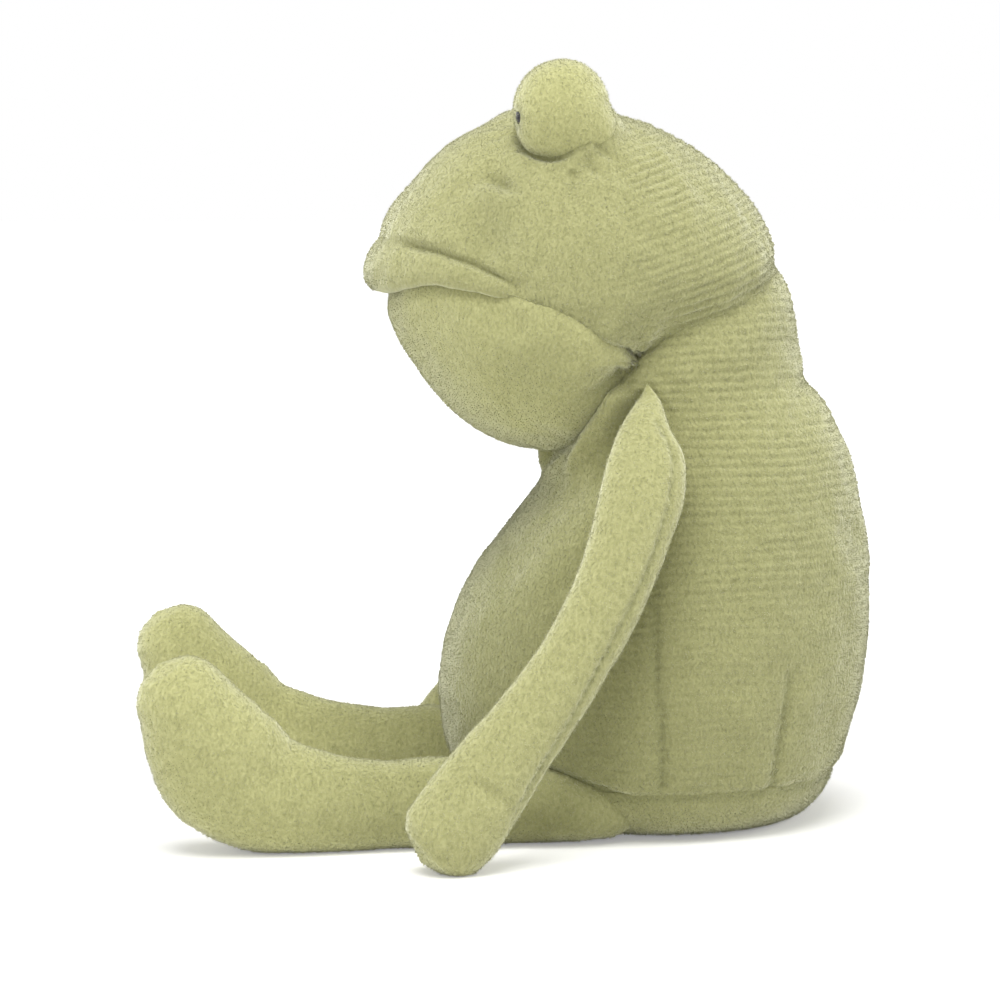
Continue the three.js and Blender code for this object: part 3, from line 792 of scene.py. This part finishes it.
headBands = [
    (1.2, 1, 0.5, 0.95, 123, 9), (1.5, 1, 0.6, 0.95, 131, 6), (-0.8, -1, 0.6, 0.95, 128, 12)]
headDents = [
    ((-40, 127.4), (3.4, 1.6), -28, 1.6), ((-41.6, 124.4), (3.2, 1.6), -28, -0.6),
    ((-42.5, 115), (3.4, 5.0), -20, 1.8), ((-36.8, 107.4), (2.6, 2.2), 10, 1.0)]
headShadows = [((-40, 127.2), (2.6, 1.0), -28, -0.3), ((-41, 120), (4.5, 10), -12, -0.15)]
# creases by the mounds, with painted shade along them
headCreases = dict(
    paths=[
        [(-23.5, 131.5), (-21.45, 128.75), (-20, 126)], [(-22.0, 133), (-18.7, 132), (-16, 131)],
        [(-26, 129.5), (-26.2, 126.75), (-27, 124)]],
    depth=0.7, width=1.0, shade=0.15, within=14, fade=(0.02, 0.8))
headTurn = ("neck", "head", pivot + 4.5 * headNormal, pivot + 11 * headNormal)


def mouthLine(forward):
    return np.interp(forward, *mouthTable.T)


def onLipAt(forward):
    return ramp(forward, 0.32, 0.46)


def headProfiles(around, lipShare):
    forward, side = columnsOf(around)
    sizes = [head[word] for word in ("height", "front", "back", "half", "lip")]
    z, front, back, half, stand = stations(headShares, sizes).T[:, None]
    front, back, half = (np.maximum(v, 0) for v in (front, back, half))
    front = front + lipShare * stand * ramp(forward, *head.lipStarts)
    x, y = half * side, head.spineY - np.where(forward > 0, front, back) * forward
    return np.stack([x, y, np.broadcast_to(head.bottom + z, x.shape)], 2)


def meetBody(grid, gap, span, most=9.0):
    # draws a head skin in to the body's own outline as its gap to the join closes
    offset = grid[..., :2] - [0, body.spineY]
    away = np.maximum(np.linalg.norm(offset, axis=2), tiny)
    wide = bodyReach(grid[..., 2], -offset[..., 1] / away, offset[..., 0] / away)
    share = np.clip(1 - gap / span, 0, 1) ** 2 * ramp(wide, 8, 14)
    change = 1 + share * np.minimum(wide / away - 1, most)
    return np.dstack([[0, body.spineY] + offset * change[..., None], grid[..., 2]])


around = head.around
forward, _ = columnsOf(around)
profiles = headProfiles(around, 1)
onLip, line, crease = onLipAt(forward), mouthLine(forward), np.interp(forward, *creaseTable.T)
over = np.minimum(profiles[:, :, 2] - line + 1.1 * (1 - onLip), aboveFold(profiles) + 1.5)
last = np.full(around, profiles.shape[1] - 1)
grid = resample(profiles, crossing(over, True), last, head.rows)
grid = meetBody(grid, aboveFold(grid), 11 - 6.5 * ramp(grid[..., 1], -6, 12))
behind, cheek = ramp(-forward, 0.02, 0.24), (1 - onLip) * (1 - ramp(-forward, 0.3, 0.5))
grid = push(grid, behind * sunkAt(aboveFold(grid), fold.width, foldDepth(forward))
            + cheek * sunkAt(grid[..., 2] - line, 1.3, 0.15))
curl = 0.5 + 0.5 * onLip + 0.9 * ramp(forward, 0.7, 1) - 0.3 * bell(forward + 0.26, 0.12)
grid = capped(grid, head.cap, False, curl)

_, y, z = axesOf(grid)
over, onFace = aboveFold(grid), ramp(forward, *lip.face)
creased = onFace * (1 - lip.faded * ramp(forward, *lip.fades))
swell = onFace * streak(z - (line + crease) / 2, *lip.roll)
swell += creased * streak(z - crease - lip.browUp, *lip.brow)
swell -= creased * streak(z - crease, *lip.crease)
swell += bandsOn(forward, z, headBands) + dentsOn(grid, headDents, 18)
# painted shade in the lip's crease, and painted shadows in the dimple and the hollow above the
# mouth corner
shade = creased * streak(z - crease, *lip.shade) + dentsOn(grid, headShadows, 18)
shade += foldShade(forward, over) * ramp(-forward, -0.1, 0.2)

cheek = ramp(forward, *cheekSeam.starts) * (1 - ramp(forward, *cheekSeam.ends))
shade += cheek * streak(z - line, *cheekSeam.shade)
above = z - line - cheekSeam.up
stitched = cheek * (0.4 + 0.6 * bump(forward, 0.12, 0.16))     # plainest below the cheek's middle
stitches = 0.5 + 0.5 * np.cos(y / cheekSeam.pitch * fullTurn)
swell -= stitched * streak(above, *cheekSeam.dip) * stitches
shade += stitched * streak(above, *cheekSeam.dots) * stitches**4

ring = np.full(z.shape, np.inf)     # from the nearer mound's middle, as a share of its size
for side in sides.values():
    offset = (grid - [side * mound.apart, mound.y, mound.z]) / mound.seat
    ring = np.minimum(ring, np.linalg.norm(offset, axis=2))
ahead = ramp(-y, *moundFold.ahead)
filled = streak(np.maximum(ring - moundFold.fillFrom, 0), *moundFold.fill)
swell += (1 - ahead) * filled * (1 - ramp(y, *moundFold.fillEnds))
swell -= ahead * bump(ring, *moundFold.dipRing)
# painted shade in the fold under the front of each mound
shade += moundFold.shade * ahead * bump(ring, *moundFold.shadeRing)
down, dark = seamsOn(grid, headCreases)
ribs = ribsOn(grid, **headRibs) * ramp(y, *head.ribbed)
shade += dark + ribbing.shade * np.maximum(-ribs, 0)
held = heldAt(bell(z - line, 1.5) + bell(over, 2.5), shade > 0.12, atTop=False)
# painted shade on the lower cheek, behind the lip
shade += 0.1 * (1 - ramp(z, 103, 122)) * ramp(y, -44, -32)     # the cheek, behind the lip
swell += down
swell = swell + puckersOn(grid, held) + lumpsOn(grid, stuffing) + ribs + foldsAtGather(grid)
dress("headSkin", push(grid, swell), headPlush, headTurn, "velour", "head_cover", "head_filling",
      seed=23, shade=shade, bare=bothEnds)
tell("head laid")

# The chin, under the mouth line

chin = Values(
    around=256, rows=150, bottom=72.7, top=(80, 110), overlap=1.1, atGather=1.5, inset=1.0,
    lowCap=(0, -22, 76.0), topCap=(0, -24, 97.0), narrower=0.4, lineShade=0.1, lipShade=0.4,
    throatShade=(0.35, 2.4))
chinBands = [(-0.9, 1, 0.5, 0.9, 87, 9)]
chinDents = [((-36.5, 100.5), (2.4, 3.2), 20, 0.7)]
chinShadows = [((-33, 93), (13, 8), -35, -0.16)]
# creases on the chin, with painted shade along them
chinCreases = dict(
    paths=[
        [(-15.2, 91.2), (-19.5, 88.6), (-25, 85), (-29, 82.4)],
        [(-16, 91.8), (-21, 91), (-26, 89.6)]],
    depth=0.7, width=1.1, shade=0.12, within=14, fade=(0.1, 0.7))

around = chin.around
forward, _ = columnsOf(around)
profiles = headProfiles(around, 0)
line, onLip, height = mouthLine(forward), onLipAt(forward), profiles[:, :, 2]
top = line + chin.overlap + chin.atGather * bell(forward + 0.24, 0.12)
top = crossing(height - np.clip(top, *chin.top))
grid = resample(profiles, crossing(height - chin.bottom), top, chin.rows)
ahead = aheadOfThroat(grid)
grid = meetBody(grid, ahead, 9, most=0)
under = line - grid[..., 2]
tucked = chin.inset * onLip * ramp(-under, -6, 0) - (1 - onLip) * sunkAt(under, 1.3, 0.15)
grid = push(grid, sunkAt(ahead, 1.8, 0.7, 1.3, 4.0) - tucked)
middle = np.array([0, head.spineY, 0])
back = chin.narrower * ramp(-forward, 0.27, 0.6)[..., None]
grid = grid + (middle - grid) * back * [1, 1, 0]
grid = capped(grid, chin.lowCap, False, curl=0.5)
grid = capped(grid, chin.topCap, True, curl=1.5 - 1.3 * ramp(-forward, 0.05, 0.2))

under, ahead = line - grid[..., 2], aheadOfThroat(grid)
swell, shade = seamsOn(grid, chinCreases)
# painted shade just under the mouth line, darkest under the lip's overhang, and in the groove at
# the throat
shade += (chin.lineShade + chin.lipShade * onLip) * bell(under, 1.0)
shade += streak(ahead, *chin.throatShade) + dentsOn(grid, chinShadows, 10)
swell += bandsOn(forward, grid[..., 2], chinBands) + dentsOn(grid, chinDents, 18)
swell += foldsAtGather(grid)
held = heldAt(bell(under, 1.5) + bell(ahead, 2), ahead < 0)
grid = push(grid, swell + puckersOn(grid, held) + lumpsOn(grid, stuffing))
dress("chinSkin", grid, chinPlush, headTurn, "velour", "chin_cover", seed=31, shade=shade,
      bare=bothEnds)
tell("chin laid")

# Eye mounds and bead eyes

eye = Values(
    radius=2.5, flat=0.62, outward=math.radians(14), down=math.radians(5), pit=(0.7, 3.0),
    rim=0.3, rimRing=(2.6, 0.6), underShade=0.35, underFrom=5.5)
blackBead = mottled("blackBead", 700, [(0.4, (0.010,) * 3), (0.7, (0.02,) * 3)], 0.12)


def moundGrid(side):
    forward, across = columnsOf(mound.around)
    step = np.linspace(0, math.pi, mound.rows)[None]
    out, up = np.sin(step), -np.cos(step)
    low = ramp(-up, -0.25, 0.75) * ramp(-forward, 0.1, 0.9)     # the back spreads into the head
    length = np.where(forward > 0, mound.length, mound.backLength)
    x = side * mound.apart + mound.half * out * across * (1 + mound.wider * low)
    y = mound.y - length * out * forward * (1 + mound.longer * low)
    return np.stack([x, y, mound.z + mound.height * up * np.ones_like(across)], 2)


def beadSpin(name, centre, outward):
    # a bead: half its outline, spun round the line that it looks along
    bm = bmesh.new()
    tall = eye.radius * eye.flat
    outline = [bm.verts.new((eye.radius * math.sin(a), 0, tall * math.cos(a)))
               for a in np.linspace(0, math.pi, 17)]
    edges = [bm.edges.new(pair) for pair in zip(outline, outline[1:])]
    bmesh.ops.spin(bm, geom=outline + edges, cent=(0, 0, 0), axis=(0, 0, 1), angle=fullTurn,
                   steps=40, use_merge=True)
    bmesh.ops.remove_doubles(bm, verts=bm.verts, dist=1e-4)
    bmesh.ops.recalc_face_normals(bm, faces=bm.faces)
    turn = Vector((0, 0, 1)).rotation_difference(Vector(outward)).to_matrix().to_4x4()
    turn = Matrix.Scale(mm, 4) @ Matrix.Translation(centre) @ turn
    bmesh.ops.transform(bm, matrix=turn, verts=bm.verts)
    mesh = bpy.data.meshes.new(name)
    bm.to_mesh(mesh)
    bm.free()
    mesh.materials.append(blackBead)
    return addObject(name, smoothed(mesh))


for word, side in sides.items():
    grid = moundGrid(side)
    low, high = (np.array(corner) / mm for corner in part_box(f"eye_{word}"))
    centre = (low + high) / 2
    away = np.linalg.norm(grid - centre, axis=2)
    grid = push(grid, lumpsOn(grid, 40 + side, 0.7) - streak(away, *eye.pit))
    _, y, z = axesOf(grid)
    # painted shade: a ring round the bead in its pit, and under the mound's front
    under = ramp(mound.z - eye.underFrom - z, 0, 4) * ramp(mound.y - y, -3, 3)
    shade = eye.rim * bump(away, *eye.rimRing) + eye.underShade * under
    dress(f"moundSkin_{word}", grid, moundPlush, "head", "velour", f"eye_mound_cover_{word}",
          f"eye_mound_filling_{word}", seed=41 + side, shade=shade, fill=0.85)
    aim = (side * math.sin(eye.outward), -math.cos(eye.outward), -math.sin(eye.down))
    place(beadSpin(f"eyeBead_{word}", centre, aim), "head", "bead", f"eye_{word}")
tell("eyes set")

# Limbs: sections square to a path

def limbGrid(around, rows, path, tall, wide):
    # rows as even as the path and the sections allow
    count = np.arange(len(path))
    change = np.linalg.norm(np.diff(path, axis=0), axis=1) + np.abs(np.diff(tall))
    run = np.concatenate([[0], np.cumsum(change + np.abs(np.diff(wide)))])
    steps = np.interp(np.linspace(0, run[-1], rows), run, count)
    path, tall, wide = (
        np.stack([np.interp(steps, count, c) for c in v.reshape(len(count), -1).T], 1)
        for v in (path, tall, wide))
    tangent = np.gradient(path, axis=0)
    tangent /= np.linalg.norm(tangent, axis=1)[:, None]
    across = np.array([1.0, 0, 0]) - tangent[:, :1] * tangent
    across /= np.linalg.norm(across, axis=1)[:, None]
    up = np.cross(tangent, across) * np.maximum(tall, 0)
    turn = (np.arange(around) / around * fullTurn)[:, None, None]
    return path + up * np.sin(turn) + across * np.maximum(wide, 0) * np.cos(turn)


arm = Values(
    around=120, rows=260, halfWidth=8.6, halfThickness=7.4, forward=42, spread=32,
    shoulder=(31.01, -11.8, 85.5), outside=(-3, 1), lumps=0.8, napLean=(0, -0.3, -0.6))
knot = Values(around=28, rows=24, half=1.4, reach=2, inward=1.8, slant=(0.94, 0, 0.34))
armShares = [
    [0, 1040, 0, 0, 0], [-8, 1000, 40, 250, 240], [10, 936, 190, 580, 530],
    [12, 865, 330, 880, 740], [36, 800, 450, 930, 820],
    [140, 646, 600, 825, 855], [330, 461, 735, 790, 855],
    [533, 320, 830, 843, 880], [730, 194, 905, 990, 970],
    [860, 108, 960, 1030, 1000], [940, 66, 980, 990, 930],
    [990, 42, 990, 740, 660], [1025, 25, 1000, 0, 0]]
armSeam = dict(
    paths=[[(-12.6, 86), (-7.9, 78.3), (-7.2, 72.8), (-10.6, 60), (-17.4, 45.6), (-25, 31.4),
            (-32.5, 19), (-39.1, 8.2)]],
    depth=0.35, width=0.8, stitches=0.5, shade=0.2, within=0, fade=(0.08, 0.1))
wristDents = [((-42.5, 16.5), (4.5, 1.3), -35, 0.9)]
for word, side in sides.items():
    x0, y0, z0 = arm.shoulder
    sizes = [arm.forward, z0, arm.spread, arm.halfWidth, arm.halfThickness]
    ahead, up, out, wide, thick = stations(armShares, sizes, count=600).T
    path = np.stack([side * (x0 + out), y0 - ahead, up], 1)
    grid = limbGrid(arm.around, arm.rows, path, wide, thick)
    middle = np.interp(grid[..., 2], up[::-1], (x0 + out)[::-1])
    outside = ramp(side * grid[..., 0] - middle, *arm.outside)
    down, shade = seamsOn(grid, armSeam)
    grid = push(grid, down * outside + dentsOn(grid, wristDents, 30)
                + lumpsOn(grid, 50 + 4 * side, arm.lumps))
    grid[..., 2] = np.maximum(grid[..., 2], 0)
    dress(f"armSkin_{word}", grid, limbPlush, f"arm_{word}", "limb_plush", f"arm_cover_{word}",
          f"arm_filling_{word}", seed=53 + side, shade=shade * outside, fill=0.8,
          lean=arm.napLean)
    along = np.linspace(-knot.reach, knot.reach, 60)[:, None] * knot.slant * [side, 1, 1]
    path = np.array([(x0 - knot.inward) * side, y0, z0]) + along
    half = knot.half * np.sin(np.linspace(0, math.pi, 60))
    grid = limbGrid(knot.around, knot.rows, path, half, half)
    dress(f"shoulderKnot_{word}", grid, limbPlush, f"shoulder_{word}", "stitching",
          f"shoulder_knot_{word}", fill=0.9)
tell("arms laid")

leg = Values(
    around=140, rows=320, rootX=29, rootY=-27, rootOut=3.5, rootEnds=(-14, 8), height=37,
    halfHeight=13, halfWidth=10.2, reach=dict(left=80, right=84), splay=dict(left=12.5, right=0),
    further=dict(left=0.5, right=1.4), furtherFrom=(30, 70), drop=0.5, dropFrom=(50, 85),
    hip=dict(left=(30.385, -33.248, 6.4), right=(-29.0, -33.72, 6.4)), drawn=(-3, 8), seam=0.35,
    seamTurn=1.25, seamWide=0.02, seamFrom=(66, 84), seamShade=0.3, shade=0.24,
    shadeEnds=(58, 88), lumps=0.8, napLean=(0, -0.6, -0.2))
legShares = [
    [-175, 150, 0, 0], [-160, 155, 260, 350], [-110, 165, 420, 560],
    [-50, 178, 490, 700], [30, 192, 560, 760], [115, 203, 600, 790],
    [218, 216, 638, 835], [320, 222, 662, 845], [429, 219, 654, 835],
    [551, 235, 708, 845], [659, 268, 792, 865], [749, 324, 915, 900],
    [830, 454, 1000, 960], [882, 619, 892, 1000], [928, 797, 708, 950],
    [956, 895, 615, 800], [976, 965, 415, 520], [987, 1005, 0, 0]]
for word, side in sides.items():
    splay = math.radians(leg.splay[word])
    sizes = [leg.reach[word], leg.height, leg.halfHeight, leg.halfWidth]
    out, up, tall, wide = stations(legShares, sizes, 2, 600).T
    further = leg.further[word] * ramp(out, *leg.furtherFrom)
    x = leg.rootX + leg.rootOut * ramp(-out, *leg.rootEnds) + out * math.sin(splay)
    y = leg.rootY - further - out * math.cos(splay)
    grid = limbGrid(leg.around, leg.rows, np.stack([side * x, y, up], 1), tall, wide)
    grid[..., 2] -= leg.drop * further.max() * ramp(-grid[..., 1], *leg.dropFrom)
    turn = np.arange(leg.around)[:, None] / leg.around * fullTurn
    seamTurn = leg.seamTurn if side > 0 else math.pi - leg.seamTurn
    top = bell(np.sin(turn - seamTurn) - 1, leg.seamWide)
    top = top * ramp(-grid[..., 1], *leg.seamFrom)
    # the seam's dark line on top, and painted shade that makes the thigh darker than the foot
    shade = leg.seamShade * top + leg.shade * (1 - ramp(-grid[..., 1], *leg.shadeEnds))
    grid = push(grid, lumpsOn(grid, 60 + 4 * side, leg.lumps) - leg.seam * top)
    grid[..., 2] = np.maximum(grid[..., 2], 0)
    ahead = np.array([side * math.sin(splay), -math.cos(splay), 0])
    start, end = (leg.hip[word] + far * ahead for far in leg.drawn)
    dress(f"legSkin_{word}", grid, legPlush, (f"hip_{word}", f"leg_{word}", start, end),
          "limb_plush", f"leg_cover_{word}", f"leg_filling_{word}", f"hip_gather_{word}",
          seed=63 + side, shade=shade, fill=0.8, lean=leg.napLean)
tell("legs laid")

# The pouch of beads inside the seat, and the washers behind the eyes

pouch = Values(half=(22, 24, 7.0), y=-4.5, z=9.4, boxy=0.6, lump=0.5, lumpScale=9)
pouchCloth = mottled("pouchCloth", 1500, [(0.4, (0.74, 0.72, 0.66)), (0.6, (0.85, 0.83, 0.78))])
step = np.linspace(0, math.pi, 48)[None]
forward, across = columnsOf(72)
out, up = np.sin(step) ** pouch.boxy, np.cos(step) * np.ones_like(across)
half = pouch.half
grid = np.stack([half[0] * out * across, pouch.y - half[1] * out * forward,
                 pouch.z - half[2] * up], 2)
grid = push(grid, pouch.lump * noiseOn(grid, pouch.lumpScale, 2, 70))
dress("beanPouch", grid, pouchCloth, "torso", "bead_pouch", "bean_bag", fill=0.5)

pale = [(0.4, (0.78, 0.78, 0.75)), (0.6, (0.86, 0.86, 0.83))]
washerPlastic = mottled("washerPlastic", 600, pale)
for word in sides:
    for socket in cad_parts[f"eye_washer_{word}"].material_slots:
        socket.material = washerPlastic
tell("inner pieces set")

# Floor, backdrop, lamps and camera

room = Values(world=0.36, floor=0.9, floorGlow=0.3, glowEnds=(0.1, 0.45), floorZ=-0.0002)
lamps = {
    "overheadLamp": dict(at=(0.45, -0.1, 1.2), aim=(0, -0.03, 0.05), size=1.0, watts=17.0),
    "leftLamp": dict(at=(0.85, -0.6, 0.5), aim=(0, -0.03, 0.09), size=0.8, watts=1.9),
    "backLamp": dict(at=(0.1, 1.2, 0.6), aim=(0, -0.03, 0.09), size=0.8, watts=5.0)}
view = Values(at=(0.795, -0.040, 0.150), aim=(0, -0.040, 0.063), lens=144, sensor=36)
scene = bpy.context.scene
scene.view_settings.view_transform = "Standard"
world = bpy.data.worlds.new("whiteRoom")
scene.world = world
world.use_nodes = True
tree = world.node_tree
rays = addNode(tree, "ShaderNodeLightPath").outputs
seen = mathNode(tree, "MAXIMUM", rays["Is Camera Ray"], rays["Is Glossy Ray"])
seen = mathNode(tree, "MAXIMUM", seen, rays["Is Transmission Ray"])
glow = mathNode(tree, "MULTIPLY", seen, 1 - room.world)
glow = mathNode(tree, "ADD", glow, room.world)
feed(tree, tree.nodes["Background"], [("Strength", glow), ("Color", (1, 1, 1, 1))])

bm = bmesh.new()
bmesh.ops.create_grid(bm, x_segments=1, y_segments=1, size=3.0)
mesh = bpy.data.meshes.new("floor")
bm.to_mesh(mesh)
bm.free()
floor = addObject("floor", mesh)
whiteFloor, tree, shader, coords = nodesOf("whiteFloor")
away = addNode(tree, "ShaderNodeVectorMath", (0, coords), operation="LENGTH").outputs["Value"]
glow = rampNode(tree, away, list(zip(room.glowEnds, ((room.floorGlow,) * 3, (1.0,) * 3))))
seen = addNode(tree, "ShaderNodeLightPath").outputs["Is Camera Ray"]
feed(tree, shader, [
    ("Base Color", (*(room.floor,) * 3, 1)), ("Roughness", 1.0), ("Specular IOR Level", 0.0),
    ("Emission Color", (1, 1, 1, 1)),
    ("Emission Strength", mathNode(tree, "MULTIPLY", seen, glow))])
mesh.materials.append(whiteFloor)
floor.location.z = room.floorZ


def aimed(name, data, at, aim):
    piece = addObject(name, data)
    piece.location = at
    piece.rotation_euler = (Vector(aim) - Vector(at)).to_track_quat("-Z", "Y").to_euler()
    return piece


for name, lamp in lamps.items():
    data = bpy.data.lights.new(name, "AREA")
    data.shape = "DISK"
    data.size = lamp["size"]
    data.energy = lamp["watts"]
    aimed(name, data, lamp["at"], lamp["aim"])

camera = bpy.data.cameras.new("camera")
camera.lens = view.lens
camera.sensor_width = view.sensor
camera.clip_start = 0.01
scene.camera = aimed("camera", camera, view.at, view.aim)
